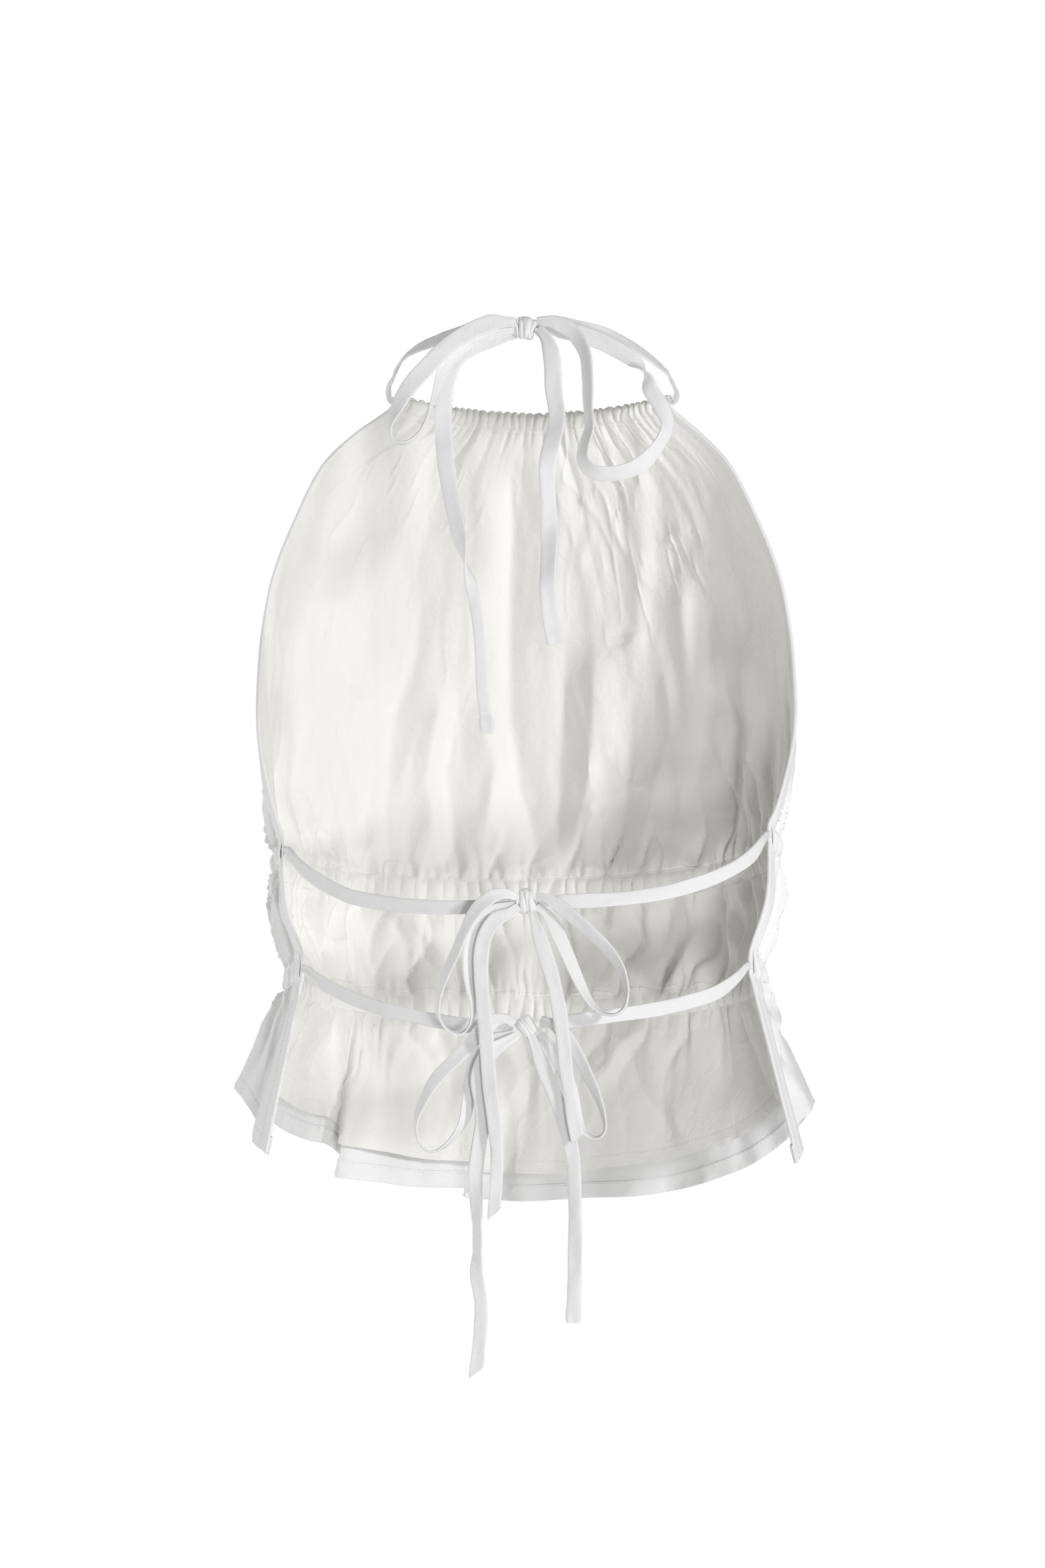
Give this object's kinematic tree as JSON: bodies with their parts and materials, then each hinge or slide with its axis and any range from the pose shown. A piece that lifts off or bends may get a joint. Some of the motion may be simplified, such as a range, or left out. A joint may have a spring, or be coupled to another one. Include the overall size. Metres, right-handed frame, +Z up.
{
  "type": "halter neck top",
  "caption": "Gathered, lined halter neck top with an open back, a flared peplum and bow-tied drawstrings at neck and waist.",
  "frame": {"origin": "the nape of the wearer's neck, on the inner face of the knot that ties the neck drawstring", "axes": "+Z up along the wearer's spine, +Y towards the wearer's front, +X to the wearer's right"},
  "size_m": [0.3521, 0.2321, 0.6175],
  "materials": {
    "shell_cloth": "matt cotton twill, cool white",
    "lining_cloth": "matt cotton poplin, warm white",
    "tie_cloth": "matt cotton twill, cool white, pressed flat"
  },
  "bodies": {
    "root": {"front_shell": "shell_cloth", "front_lining": "lining_cloth", "neck_run_left": "tie_cloth", "neck_run_right": "tie_cloth", "neck_loop_left": "tie_cloth", "neck_loop_right": "tie_cloth", "neck_tail_left": "tie_cloth", "neck_tail_right": "tie_cloth", "neck_knot": "tie_cloth", "upper_run_left": "tie_cloth", "upper_run_right": "tie_cloth", "upper_loop_left": "tie_cloth", "upper_loop_right": "tie_cloth", "upper_tail_left": "tie_cloth", "upper_tail_right": "tie_cloth", "upper_knot": "tie_cloth", "lower_run_left": "tie_cloth", "lower_run_right": "tie_cloth", "lower_loop_left": "tie_cloth", "lower_loop_right": "tie_cloth", "lower_tail_left": "tie_cloth", "lower_tail_right": "tie_cloth", "lower_knot": "tie_cloth"}
  },
  "joints": []
}
